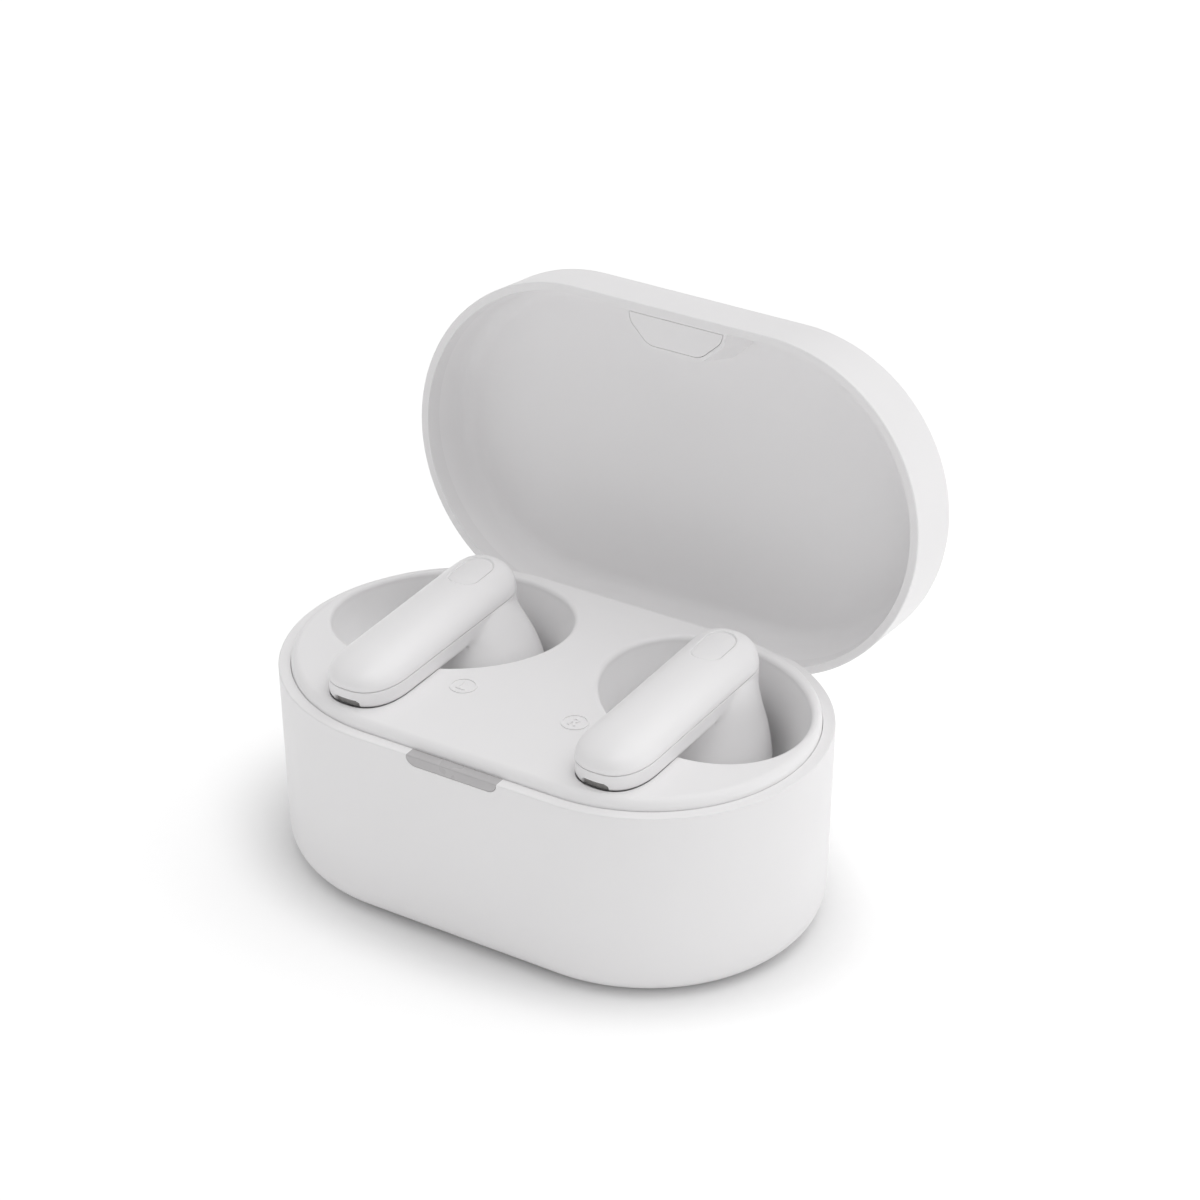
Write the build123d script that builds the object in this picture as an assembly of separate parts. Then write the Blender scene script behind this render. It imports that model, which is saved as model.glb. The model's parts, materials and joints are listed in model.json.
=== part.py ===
from build123d import *
import math
import os

# A charging case for two wireless earbuds, standing open with both earbuds in their wells.
# +X runs along the case, -Y is the front with the status light, +Y is the hinge, +Z is up.
# The origin is on the resting face, under the middle of the base. Everything is in millimetres.

# ---- driving dimensions: case ----
CASE_L = 60.0
CASE_W = 37.0
RIM_Z = 21.56
BASE_DRAFT_X = 0.44
BASE_DRAFT_Y = 0.21
BASE_EDGE_R = 3.2
BASE_INNER_R = 1.8
WALL = 1.4
RIM_BAND = 1.25
FLOOR = 1.6
RIM_SOFTEN = 0.15
WINDOW_HALF = 5.3
WINDOW_DROP = 1.05
GUIDE_BACK = -15.7
GUIDE_FOOT_Z = 8.8

# ---- driving dimensions: lid ----
LID_H = 7.5
LID_GAP = 0.1
LID_DRAFT_Y = 0.6
LID_EDGE_R = 0.9
LID_RIM_W = 0.9
LID_SEAM_IN = 1.15
LID_SEAM_DEPTH = 1.8
LID_TOP_T = 0.7
LID_WALL_T = 0.6
LINER_T = 0.5
LINER_DEPTH = 6.3
LINER_EDGE_R = 1.7
LINER_DRAFT = 0.3
OPEN_ANGLE = 95.75
LID_Z = RIM_Z + LID_GAP
LINER_INNER_Z = LID_Z + LINER_DEPTH

# ---- driving dimensions: magnet boss inside the lid ----
BOSS_WALL_Y = -16.9
BOSS_WALL_HALF = 6.1
BOSS_SHOULDER = (5.8, -15.7)
BOSS_TIP = (3.3, -13.35)
BOSS_SHOULDER_R = 1.6
BOSS_TIP_R = 1.9
BOSS_FACE_DEPTH = 1.25
BOSS_FLARE = 1.1
BOSS_BACK = 0.45
COVER_INSET = 0.35
COVER_T = 0.5
COVER_GAP = 0.05
COVER_LEDGE = 0.45
MAGNET_DEPTH = 3.0
LID_MAGNET = (4.6, 1.6)

# ---- driving dimensions: hinge ----
HINGE_Y = 16.83
HINGE_Z = 19.35
KNUCKLE_R = 1.5
KNUCKLE_HALF = 8.8
SLOT_HALF = 9.1
SLOT_FLOOR = 17.3
LUG_END = 11.4
PIN_R = 0.7
PIN_RUN = 0.04
WEB_Y0 = 17.45
WEB_Y1 = 18.4
REAR_RELIEF_R = 2.15
REAR_RELIEF_HALF = 19.2

# ---- driving dimensions: tray and wells ----
PLATEAU_Z = 22.7
PLATE_UNDER = 21.1
TRAY_GAP = 0.06
TRAY_EDGE_R = 0.9
SKIRT_T = 1.0
SKIRT_Z = 18.5
WELL_T = 0.9
WELL_TILT = -30.0
LIP_R = 0.45
TROUGH_Z = 21.6
TROUGH_INSET = (0.02, 0.03)
MARK_X = 6.65
MARK_Y = -6.3
MARK_R = 1.45
MARK_RISE = 0.1
MARK_LINE = 0.22
MARK_STROKE = 0.26
MARK_HALF_W = 0.4
MARK_HALF_H = 0.7

# ---- driving dimensions: earbud (right one; the left one is its mirror image) ----
BUD_X = 14.6
STEM_HALF = 4.0
STEM_FRONT = -15.53
STEM_BACK = 12.1
FRONT_CAP = (5.6, 2.485)
BACK_CAP = (4.0, 2.2)
CAP_STEPS = 8
SEAM_Z = 24.5
CROWN_FRONT = 2.25
CROWN_BACK = 2.95
CROWN_FRONT_POWER = 2.485
CROWN_BACK_POWER = 3.4
CROWN_SIDE_POWER = 2.1
CROWN_STATIONS = (0.995, 0.98, 0.95, 0.9, 0.83, 0.74, 0.62, 0.46, 0.25, 0.0)
STEM_UNDER = 22.3
BUD_WALL = 0.8
SEAM_GAP = 0.03
TOUCH_Y = 7.1
TOUCH_L = 5.8
TOUCH_W = 3.4
TOUCH_SINK = 0.1
TOUCH_FLOOR = 26.75
TOUCH_RUN = 0.03
MIC_Z = 22.95
MIC_L = 2.9
MIC_H = 0.9
MIC_SUNK = 0.25
MIC_T = 0.35
GRILLE_R = 3.5
GRILLE_Z = 9.5

# ---- driving dimensions: charging contacts ----
CONTACT_Y = (-8.6, -11.6)
CONTACT_R = 0.8
CONTACT_Z = 21.9
PLUNGER_R = 0.4
FLANGE_R = 0.5
BARREL_R = 0.75
BARREL_BORE = 0.55
PLUNGER_TOP = 21.87
HOLDER_FLOOR = 17.5
HOLDER_HALF_X = 2.6
HOLDER_END = 1.5
BARREL_FLOOR = 17.9
LIP_T = 0.3
FLANGE_T = 0.5
SPRING_WIRE_R = 0.06
SPRING_R = 0.42
SPRING_TURNS = 5
FLEX_T = 0.15
FLEX_HALF = 2.0

# ---- driving dimensions: inside the base ----
BOARD_Z = 7.0
BOARD_T = 0.8
CELL = (34.0, 22.0, 4.4)
PAD_T = 0.4
SCREW_AT = (24.0, 4.0)
BOSS_R = 1.6
SCREW_R = 0.6
USB = (8.94, 7.3, 3.2)
USB_END = 17.6
USB_SKIN = 0.3
LEAD_R = 0.3
BASE_MAGNET = (8.0, 2.0, 2.0)
BASE_MAGNET_Y = -14.4
HOLD_MAGNET = (2.4, 1.3, 2.0)
HOLD_MAGNET_Y = -14.05
BUD_MAGNET = (2.4, 1.2, 0.73)
BUD_MAGNET_Y = -13.7
BUD_MAGNET_Z = 23.12

# ---- driving dimensions: inside an earbud ----
GRILLE_T = 0.4
GRILLE_HOLE_R = 0.25
DRIVER_R = 5.4
DRIVER_Z = 11.6
BUD_CELL_R = 4.6
BUD_CELL_Z = (15.0, 19.4)
BUD_BOARD_Y = (-11.6, 8.2)
BUD_BOARD_HALF = 2.7
BUD_BOARD_Z = 23.7
BUD_BOARD_T = 0.5
BUD_CHIP_H = 0.7
SENSOR_Z = 25.6
SENSOR_T = 0.25
SENSOR_HALF = 1.9

# Sections of the earbud's head: height, shift towards the case's middle, centre Y, half X, half Y.
HEAD = [
    (SEAM_Z, 0.0, 6.3, 3.95, 5.6),
    (23.0, 0.2, 6.2, 4.75, 5.85),
    (21.5, 0.5, 6.2, 5.45, 6.3),
    (20.0, 0.85, 6.2, 6.1, 6.8),
    (18.0, 1.0, 6.2, 6.8, 7.4),
    (15.5, 1.1, 6.3, 7.3, 7.7),
    (13.3, 1.05, 6.4, 7.35, 7.55),
    (11.2, 0.9, 6.5, 6.5, 6.5),
    (GRILLE_Z, 0.8, 6.5, 4.1, 4.1),
]

# Lower half of the stem, from the seam down: height, inset all round, extra inset at the front tip.
STEM = [
    (SEAM_Z, 0.0, 0.0),
    (23.5, 0.02, 0.0),
    (PLATEAU_Z, 0.1, 0.15),
    (STEM_UNDER, 0.55, 0.35),
]

# Sections of a well: height, centre X, centre Y, half length, half width.
WELL = [
    (PLATEAU_Z, 15.2, 4.4, 12.7, 10.0),
    (21.0, 15.1, 4.6, 12.3, 9.7),
    (18.0, 14.8, 5.2, 10.9, 9.1),
    (15.5, 14.4, 5.8, 9.7, 8.7),
    (13.3, 14.1, 6.2, 8.9, 8.3),
    (11.0, 13.8, 6.5, 7.7, 7.4),
    (9.0, 13.8, 6.5, 5.3, 5.2),
]

os.makedirs("parts", exist_ok=True)
parts = {}


def block(x0, x1, y0, y1, z0, z1):
    """A box between two corners."""
    centre = ((x0 + x1) / 2, (y0 + y1) / 2, (z0 + z1) / 2)
    return Pos(*centre) * Box(x1 - x0, y1 - y0, z1 - z0)


def post(x, y, z0, z1, radius):
    """An upright cylinder."""
    return Pos(x, y, (z0 + z1) / 2) * Cylinder(radius, z1 - z0)


def rod(x0, x1, y, z, radius):
    """A cylinder along X."""
    return Pos((x0 + x1) / 2, y, z) * Rot(0, 90, 0) * Cylinder(radius, x1 - x0)


def pill(length, width, z):
    """A stadium outline along X at height z."""
    return Pos(0, 0, z) * SlotOverall(length, width)


def cap_points(half, length, power):
    """Quarter of a rounded cap from its side to its tip, as (x, distance past the cap's root)."""
    points = []
    for k in range(CAP_STEPS + 1):
        turn = math.pi / 2 * k / CAP_STEPS
        x = half * abs(math.cos(turn)) ** (2 / power)
        y = length * math.sin(turn) ** (2 / power)
        points.append((x, y))
    points[-1] = (0.0, length)
    return points


def stem_outline(inset, front_inset, z):
    """The stem seen from above: straight sides with a blunt rounded cap at each end."""
    half = STEM_HALF - inset
    front = STEM_FRONT + inset + front_inset
    back = STEM_BACK - inset
    front_root = front + FRONT_CAP[0]
    back_root = back - BACK_CAP[0]
    ahead = [(x, front_root - y) for x, y in cap_points(half, FRONT_CAP[0], FRONT_CAP[1])]
    behind = [(x, back_root + y) for x, y in cap_points(half, BACK_CAP[0], BACK_CAP[1])]
    ahead += [(-x, y) for x, y in reversed(ahead[:-1])]
    behind += [(-x, y) for x, y in reversed(behind[:-1])]
    edges = [
        Spline(*ahead, tangents=[(0, -1), (0, 1)]),
        Line((-half, front_root), (-half, back_root)),
        Spline(*reversed(behind), tangents=[(0, 1), (0, -1)]),
        Line((half, back_root), (half, front_root)),
    ]
    return Pos(BUD_X, 0, z) * make_face(edges)


def magnet(x, y, z0, size):
    """A block magnet standing on z0."""
    return block(x - size[0] / 2, x + size[0] / 2, y - size[1] / 2, y + size[1] / 2, z0, z0 + size[2])


def oval(x, y, z, a, b, turn=0.0):
    return Pos(x, y, z) * Rot(0, 0, turn) * Ellipse(a, b)


def mirrored(shape):
    return mirror(shape, about=Plane.YZ)


def swung_open(shape):
    """Turn a piece of the closed lid back about the hinge to its open stop."""
    return Pos(0, HINGE_Y, HINGE_Z) * Rot(-OPEN_ANGLE, 0, 0) * Pos(0, -HINGE_Y, -HINGE_Z) * shape


# ---------------------------------------------------------------- base shell
def base_shell():
    bottom_l = CASE_L - 2 * BASE_DRAFT_X
    bottom_w = CASE_W - 2 * BASE_DRAFT_Y
    outer = loft([pill(bottom_l, bottom_w, 0), pill(CASE_L, CASE_W, RIM_Z)], ruled=True)
    outer = fillet(outer.edges().group_by(Axis.Z)[0], BASE_EDGE_R)
    outer = fillet(outer.edges().group_by(Axis.Z)[-1], RIM_SOFTEN)
    floor_plan = pill(bottom_l - 2 * WALL, bottom_w - 2 * WALL, FLOOR)
    rim_plan = pill(CASE_L - 2 * RIM_BAND, CASE_W - 2 * RIM_BAND, RIM_Z)
    inner = loft([floor_plan, rim_plan], ruled=True)
    inner = fillet(inner.edges().group_by(Axis.Z)[0], BASE_INNER_R)
    shell = outer - inner

    # the rear rim is rounded off about the hinge, where the lid's rim dips past it
    reach = 3.0
    relief = block(-REAR_RELIEF_HALF, REAR_RELIEF_HALF, HINGE_Y, HINGE_Y + reach, HINGE_Z, HINGE_Z + reach)
    relief -= rod(-CASE_L / 2, CASE_L / 2, HINGE_Y, HINGE_Z, REAR_RELIEF_R)
    shell -= relief

    # slot for the lid's knuckle, with a bored lug at each side of it
    slot = block(-SLOT_HALF, SLOT_HALF, HINGE_Y - 2, CASE_W / 2 + 1, SLOT_FLOOR, RIM_Z + 1)
    for side in (-1, 1):
        ends = sorted((side * SLOT_HALF, side * LUG_END))
        lug = rod(ends[0], ends[1], HINGE_Y, HINGE_Z, KNUCKLE_R)
        lug += block(ends[0], ends[1], HINGE_Y, HINGE_Y + 0.9, HINGE_Z - KNUCKLE_R, HINGE_Z)
        shell += lug
    shell -= slot
    shell -= rod(-LUG_END, LUG_END, HINGE_Y, HINGE_Z, PIN_R)

    # window for the light guide, port for the cable, and four screw bosses
    shell -= window(-0.05)
    port = Pos(0, CASE_W / 2, usb_mid_z()) * Rot(90, 0, 0) * SlotOverall(USB[0] + 0.4, USB[2] + 0.4)
    shell -= extrude(port, amount=WALL + 1.5, both=True)
    for x in (-SCREW_AT[0], SCREW_AT[0]):
        for y in (-SCREW_AT[1], SCREW_AT[1]):
            shell += post(x, y, FLOOR, BOARD_Z, BOSS_R)
            shell -= post(x, y, FLOOR + 1.0, BOARD_Z, SCREW_R + 0.02)
    return shell


def usb_mid_z():
    return BOARD_Z + BOARD_T + USB[2] / 2


def window(gap):
    """The light guide's outer block: a bar across the rim band with rounded lower corners."""
    height = WINDOW_DROP * 2
    place = Pos(0, -CASE_W / 2, RIM_Z) * Rot(90, 0, 0)
    front = place * SlotOverall(2 * WINDOW_HALF - 2 * gap, height - 2 * gap)
    depth = RIM_BAND - gap
    bar = extrude(front, amount=depth, both=True)
    low = RIM_Z - WINDOW_DROP
    return bar & block(-WINDOW_HALF, WINDOW_HALF, -CASE_W / 2 - 1, -CASE_W / 2 + depth, low - 1, RIM_Z + 1)


def light_guide():
    """Window bar, a shoulder behind it, and a pipe down to the light on the board."""
    shoulder_z = PLATE_UNDER - 0.15
    back = GUIDE_BACK
    bar = window(0.0) & base_envelope()
    shoulder = block(-4, 4, -CASE_W / 2 + RIM_BAND, back, RIM_Z - WINDOW_DROP, shoulder_z)
    pipe = block(-1.5, 1.5, back - 1.0, back, GUIDE_FOOT_Z, shoulder_z)
    foot = block(-1.5, 1.5, back - 1.0, -13.8, GUIDE_FOOT_Z, GUIDE_FOOT_Z + 1.0)
    return bar + shoulder + pipe + foot


def base_envelope():
    """The base's outer form, which trims what is flush with it."""
    bottom_l = CASE_L - 2 * BASE_DRAFT_X
    bottom_w = CASE_W - 2 * BASE_DRAFT_Y
    form = loft([pill(bottom_l, bottom_w, 0), pill(CASE_L, CASE_W, RIM_Z)], ruled=True)
    return fillet(form.edges().group_by(Axis.Z)[-1], RIM_SOFTEN)


# ---------------------------------------------------------------- tray
def well_form(grow, top_extra, bottom_extra):
    """One well as a solid: its bowl, or the bowl grown by the wall thickness."""
    sections = []
    for z, x, y, a, b in WELL:
        sections.append(oval(x, y, z, a + grow, b + grow, WELL_TILT))
    form = loft(sections)
    if top_extra:
        z, x, y, a, b = WELL[0]
        form += extrude(oval(x, y, z, a + grow, b + grow, WELL_TILT), amount=top_extra)
    if bottom_extra:
        z, x, y, a, b = WELL[-1]
        form += extrude(oval(x, y, z, a + grow, b + grow, WELL_TILT), amount=-bottom_extra)
    return form


def letter(kind):
    """A letter inside a ring, raised from the plateau: L for the left well, R for the right one."""
    ring = Circle(MARK_R) - Circle(MARK_R - MARK_LINE)
    half_w = MARK_HALF_W
    half_h = MARK_HALF_H
    glyph = Pos(-half_w, 0) * Rectangle(MARK_STROKE, 2 * half_h)
    if kind == "L":
        glyph += Pos(0, -half_h + MARK_STROKE / 2) * Rectangle(2 * half_w + MARK_STROKE, MARK_STROKE)
    else:
        bowl_r = half_h / 2 + MARK_STROKE / 4
        bowl = Circle(bowl_r) - Circle(bowl_r - MARK_STROKE)
        bowl = bowl & (Pos(bowl_r, 0) * Rectangle(2 * bowl_r, 2 * bowl_r))
        bowl_y = half_h - bowl_r
        glyph += Pos(-0.05, bowl_y) * bowl
        for y in (half_h - MARK_STROKE / 2, half_h - 2 * bowl_r + MARK_STROKE / 2):
            glyph += Pos(-0.2, y) * Rectangle(half_w, MARK_STROKE)
        glyph += Pos(0.1, -0.35) * Rot(0, 0, 32) * Rectangle(MARK_STROKE, 0.8)
    return extrude(ring + glyph, amount=MARK_RISE)


def tray():
    inset = RIM_BAND + TRAY_GAP
    length = CASE_L - 2 * inset
    width = CASE_W - 2 * inset
    plate = extrude(pill(length, width, PLATE_UNDER), amount=PLATEAU_Z - PLATE_UNDER)
    plate = fillet(plate.edges().group_by(Axis.Z)[-1], TRAY_EDGE_R)
    skirt_drop = 0.15
    ring = pill(length - 2 * skirt_drop, width - 2 * skirt_drop, SKIRT_Z)
    ring -= pill(length - 2 * (SKIRT_T + skirt_drop), width - 2 * (SKIRT_T + skirt_drop), SKIRT_Z)
    skirt = extrude(ring, amount=PLATE_UNDER - SKIRT_Z)
    skirt -= block(-LUG_END - 1, LUG_END + 1, 10, CASE_W / 2, SKIRT_Z, PLATE_UNDER)
    skirt -= block(-WINDOW_HALF - 1, WINDOW_HALF + 1, -CASE_W / 2, -10, SKIRT_Z, PLATE_UNDER)

    body = plate + skirt
    bowl = well_form(0, 1, 0)
    cup = well_form(WELL_T, 0, WELL_T)
    limit = extrude(pill(length - 2 * skirt_drop, width - 2 * skirt_drop, 0), amount=PLATEAU_Z - 1.0)
    cup = cup & limit
    body = body + cup + mirrored(cup)
    body = body - bowl - mirrored(bowl)
    curved = (GeomType.BSPLINE, GeomType.ELLIPSE)
    lips = [e for e in body.edges().group_by(Axis.Z)[-1] if e.geom_type in curved]
    body = fillet(lips, LIP_R)
    trough = extrude(stem_outline(*TROUGH_INSET, TROUGH_Z), amount=PLATEAU_Z - TROUGH_Z + 1)
    trough &= block(0, CASE_L / 2, -CASE_W / 2, 2.0, TROUGH_Z, PLATEAU_Z + 1)
    body = body - trough - mirrored(trough)

    # room for the hinge's lugs, and a hole over each charging plunger
    body -= rod(-LUG_END - 0.2, LUG_END + 0.2, HINGE_Y, HINGE_Z, KNUCKLE_R + 0.15)
    for x in (-BUD_X, BUD_X):
        for y in CONTACT_Y:
            body -= post(x, y, PLATE_UNDER - 1, TROUGH_Z + 1, PLUNGER_R + 0.1)
    body += Pos(-MARK_X, MARK_Y, PLATEAU_Z) * letter("L")
    body += Pos(MARK_X, MARK_Y, PLATEAU_Z) * letter("R")
    return body


# ---------------------------------------------------------------- lid, drawn closed
def lid_form(inset, inset_top, z0, z1):
    """A stadium frustum inside the lid's outline."""
    low = pill(CASE_L - 2 * inset, CASE_W - 2 * inset, z0)
    high = pill(CASE_L - 2 * inset_top, CASE_W - 2 * inset_top - 2 * LID_DRAFT_Y, z1)
    return loft([low, high], ruled=True)


def lid_shell():
    top = LID_Z + LID_H
    outer = lid_form(0, 0, LID_Z, top)
    outer = fillet(outer.edges().group_by(Axis.Z)[-1], LID_EDGE_R)
    outer = fillet(outer.edges().group_by(Axis.Z)[0], RIM_SOFTEN)
    seam_z = LID_Z + LID_SEAM_DEPTH
    mouth = loft(
        [
            pill(CASE_L - 2 * LID_RIM_W, CASE_W - 2 * LID_RIM_W, LID_Z),
            pill(CASE_L - 2 * LID_SEAM_IN, CASE_W - 2 * LID_SEAM_IN, seam_z),
        ],
        ruled=True,
    )
    hollow = lid_form(LID_WALL_T, LID_WALL_T, seam_z, top - LID_TOP_T)
    hollow = fillet(hollow.edges().group_by(Axis.Z)[-1], LINER_EDGE_R)
    shell = outer - mouth - hollow

    # knuckle on the hinge line, with its web up into the rear wall
    shell += rod(-KNUCKLE_HALF, KNUCKLE_HALF, HINGE_Y, HINGE_Z, KNUCKLE_R)
    web_top = LID_Z + 0.9
    shell += block(-KNUCKLE_HALF, KNUCKLE_HALF, WEB_Y0, WEB_Y1, HINGE_Z, web_top)
    shell -= rod(-CASE_L / 2, CASE_L / 2, HINGE_Y, HINGE_Z, PIN_R + PIN_RUN)
    return shell


def boss_outline(inset, z):
    """The boss on the lid's front wall, seen along Z: wide at the wall and rounded at its tip."""
    back = BOSS_WALL_Y - 1.0
    half = BOSS_WALL_HALF - inset
    shoulder = (BOSS_SHOULDER[0] - inset, BOSS_SHOULDER[1] - inset / 2)
    tip = (BOSS_TIP[0] - inset / 2, BOSS_TIP[1] - inset)
    right_side = [(half, back), shoulder, tip]
    left_side = [(-x, y) for x, y in reversed(right_side)]
    face = make_face(Polyline(*right_side, *left_side, close=True))
    shoulders = [v for v in face.vertices() if abs(v.Y - shoulder[1]) < 0.01]
    face = fillet(shoulders, BOSS_SHOULDER_R)
    tips = [v for v in face.vertices() if abs(v.Y - tip[1]) < 0.01]
    face = fillet(tips, BOSS_TIP_R)
    return Pos(0, 0, z) * face


def liner_skin(extra):
    """Inner form of the lid liner, or the form grown by its thickness."""
    seam_z = LID_Z + LID_SEAM_DEPTH
    edge = LID_SEAM_IN + LINER_DRAFT - extra
    low = pill(CASE_L - 2 * (LID_SEAM_IN - extra), CASE_W - 2 * (LID_SEAM_IN - extra), seam_z)
    high = pill(CASE_L - 2 * edge, CASE_W - 2 * edge - 2 * LINER_DRAFT, LINER_INNER_Z + extra)
    form = loft([low, high], ruled=True)
    return fillet(form.edges().group_by(Axis.Z)[-1], LINER_EDGE_R + extra)


def lid_liner():
    """Inner liner of the lid, with the hollow boss that holds the closing magnet."""
    grown = liner_skin(LINER_T - TRAY_GAP)
    skin = grown - liner_skin(0)
    face_z = LID_Z + BOSS_FACE_DEPTH
    seam_z = LID_Z + LID_SEAM_DEPTH
    wall_y = -CASE_W / 2 + LID_SEAM_IN + 0.02
    inside = grown + block(-CASE_L / 2, CASE_L / 2, wall_y, 0, face_z, seam_z)
    boss = loft([boss_outline(0, face_z), boss_outline(-BOSS_FLARE, LINER_INNER_Z + 0.2)], ruled=True)
    skin += boss & inside
    pocket = extrude(boss_outline(COVER_INSET, face_z), amount=COVER_T)
    pocket += extrude(boss_outline(COVER_INSET + COVER_LEDGE, face_z), amount=MAGNET_DEPTH)
    skin -= pocket & inside_boss(face_z)
    return skin


def inside_boss(face_z):
    """Keeps the boss's pocket clear of the lid's front wall."""
    wall_y = -CASE_W / 2 + LID_SEAM_IN + BOSS_BACK
    return block(-CASE_L / 2, CASE_L / 2, wall_y, 0, face_z, face_z + MAGNET_DEPTH)


def lid_magnet_cover():
    face_z = LID_Z + BOSS_FACE_DEPTH
    plate = extrude(boss_outline(COVER_INSET + COVER_GAP, face_z), amount=COVER_T)
    wall_y = -CASE_W / 2 + LID_SEAM_IN + BOSS_BACK + COVER_GAP
    return plate & block(-CASE_L / 2, CASE_L / 2, wall_y, 0, face_z, face_z + COVER_T)


def lid_magnet():
    face_z = LID_Z + BOSS_FACE_DEPTH + COVER_T
    half = LID_MAGNET[0] / 2
    return block(-half, half, -15.0 - LID_MAGNET[1], -15.0, face_z, face_z + MAGNET_DEPTH - COVER_T - 0.3)


def hinge_pin():
    pin = rod(-LUG_END, LUG_END, HINGE_Y, HINGE_Z, PIN_R)
    return chamfer(pin.edges().filter_by(GeomType.CIRCLE), 0.12)


# ---------------------------------------------------------------- earbud, drawn on the right
def head_form(shrink, stop):
    """The earbud's head: a flared body that leans towards the middle of the case."""
    sections = []
    for z, lean, y, a, b in HEAD:
        sections.append(oval(BUD_X - lean, y, z, a - shrink, b - shrink))
    form = loft(sections)
    return form & block(0, CASE_L / 2, -CASE_W / 2, CASE_W / 2, stop, SEAM_Z)


def stem_form(shrink, floor_z):
    """Lower half of the stem: near-vertical sides that tuck under at the bottom."""
    form = loft([stem_outline(inset + shrink, tip, z) for z, inset, tip in STEM])
    return form & block(0, CASE_L / 2, -CASE_W / 2, CASE_W / 2, floor_z, SEAM_Z)


def bud_shell():
    outer = stem_form(0, STEM_UNDER) + head_form(0, GRILLE_Z)
    inner = stem_form(BUD_WALL, STEM_UNDER + BUD_WALL) + head_form(BUD_WALL, GRILLE_Z + BUD_WALL)
    shell = outer - inner
    lean = HEAD[-1][1]
    centre_y = HEAD[-1][2]
    shell -= post(BUD_X - lean, centre_y, GRILLE_Z - 1, GRILLE_Z + BUD_WALL + 1, GRILLE_R)
    shell -= mic_slot(0.0, STEM_FRONT - 1, STEM_FRONT + 3)
    for y in CONTACT_Y:
        shell -= post(BUD_X, y, STEM_UNDER - 1, STEM_UNDER + BUD_WALL + 0.5, CONTACT_R)
    return shell


def mic_slot(shrink, y0, y1):
    face = Pos(BUD_X, y0, MIC_Z) * Rot(-90, 0, 0) * SlotOverall(MIC_L - 2 * shrink, MIC_H - 2 * shrink)
    return extrude(face, amount=y1 - y0)


def mic_mesh():
    """Dark mesh sunk just inside the slot at the tip of the stem."""
    front = STEM_FRONT + STEM[2][1] + STEM[2][2] + MIC_SUNK
    return mic_slot(0.02, front, front + MIC_T)


def crown_section(y, half, rise, z):
    """Cross-section of the stem's cover at one place along it: a flat foot and an arched back."""
    points = []
    for k in range(2 * CAP_STEPS + 1):
        turn = math.pi * k / (2 * CAP_STEPS)
        x = half * abs(math.cos(turn)) ** (2 / CROWN_SIDE_POWER)
        up = rise * math.sin(turn) ** (2 / CROWN_SIDE_POWER)
        points.append((math.copysign(x, math.cos(turn)), max(up, 0.0)))
    points[0] = (half, 0.0)
    points[CAP_STEPS] = (0.0, rise)
    points[-1] = (-half, 0.0)
    arch = Spline(*points, tangents=[(0, 1), (0, -1)])
    face = make_face([arch, Line(points[-1], points[0])])
    return Pos(BUD_X, y, z) * Rot(90, 0, 0) * face


def crown(shrink, sink):
    """The cover's full form, highest towards its back and rounded down to the seam at both ends."""
    front = STEM_FRONT + shrink
    back = STEM_BACK - shrink
    sections = []
    for part in CROWN_STATIONS:
        plan = (1 - part ** FRONT_CAP[1]) ** (1 / FRONT_CAP[1])
        tall = (1 - part ** CROWN_FRONT_POWER) ** (1 / CROWN_FRONT_POWER)
        sections.append((front + FRONT_CAP[0] * (1 - part), plan, tall))
    for part in reversed(CROWN_STATIONS):
        plan = (1 - part ** BACK_CAP[1]) ** (1 / BACK_CAP[1])
        tall = (1 - part ** CROWN_BACK_POWER) ** (1 / CROWN_BACK_POWER)
        sections.append((back - BACK_CAP[0] * (1 - part), plan, tall))
    faces = []
    for y, plan, tall in sections:
        along = (y - STEM_FRONT) / (STEM_BACK - STEM_FRONT)
        rise = CROWN_FRONT + (CROWN_BACK - CROWN_FRONT) * along - shrink
        faces.append(crown_section(y, (STEM_HALF - shrink) * plan, rise * tall, SEAM_Z + SEAM_GAP - sink))
    form = loft(faces, ruled=True)
    return form & block(0, CASE_L / 2, -CASE_W / 2, CASE_W / 2, SEAM_Z + SEAM_GAP, SEAM_Z + 2 * CROWN_BACK)


def touch_prism(shrink, z0):
    face = Pos(BUD_X, TOUCH_Y, z0) * Rot(0, 0, 90) * SlotOverall(TOUCH_L - 2 * shrink, TOUCH_W - 2 * shrink)
    return extrude(face, amount=SEAM_Z + 2 * CROWN_BACK - z0)


def stem_cover():
    cover = crown(0, 0) - crown(BUD_WALL, 0)
    return cover - touch_prism(0, TOUCH_FLOOR)


def touch_inlay():
    return crown(0, TOUCH_SINK) & touch_prism(TOUCH_RUN, TOUCH_FLOOR)


def touch_sensor():
    x0, x1 = BUD_X - SENSOR_HALF, BUD_X + SENSOR_HALF
    return block(x0, x1, TOUCH_Y - 4.0, TOUCH_Y + 1.8, SENSOR_Z, SENSOR_Z + SENSOR_T)


def speaker_grille():
    """Perforated disc over the sound outlet."""
    x = BUD_X - HEAD[-1][1]
    y = HEAD[-1][2]
    disc = post(x, y, GRILLE_Z, GRILLE_Z + GRILLE_T, GRILLE_R)
    for ring, count in ((1.0, 6), (2.0, 12), (2.9, 18)):
        for k in range(count):
            turn = 2 * math.pi * k / count
            hole_x = x + ring * math.cos(turn)
            hole_y = y + ring * math.sin(turn)
            disc -= post(hole_x, hole_y, GRILLE_Z - 1, GRILLE_Z + 1, GRILLE_HOLE_R)
    return disc


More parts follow.
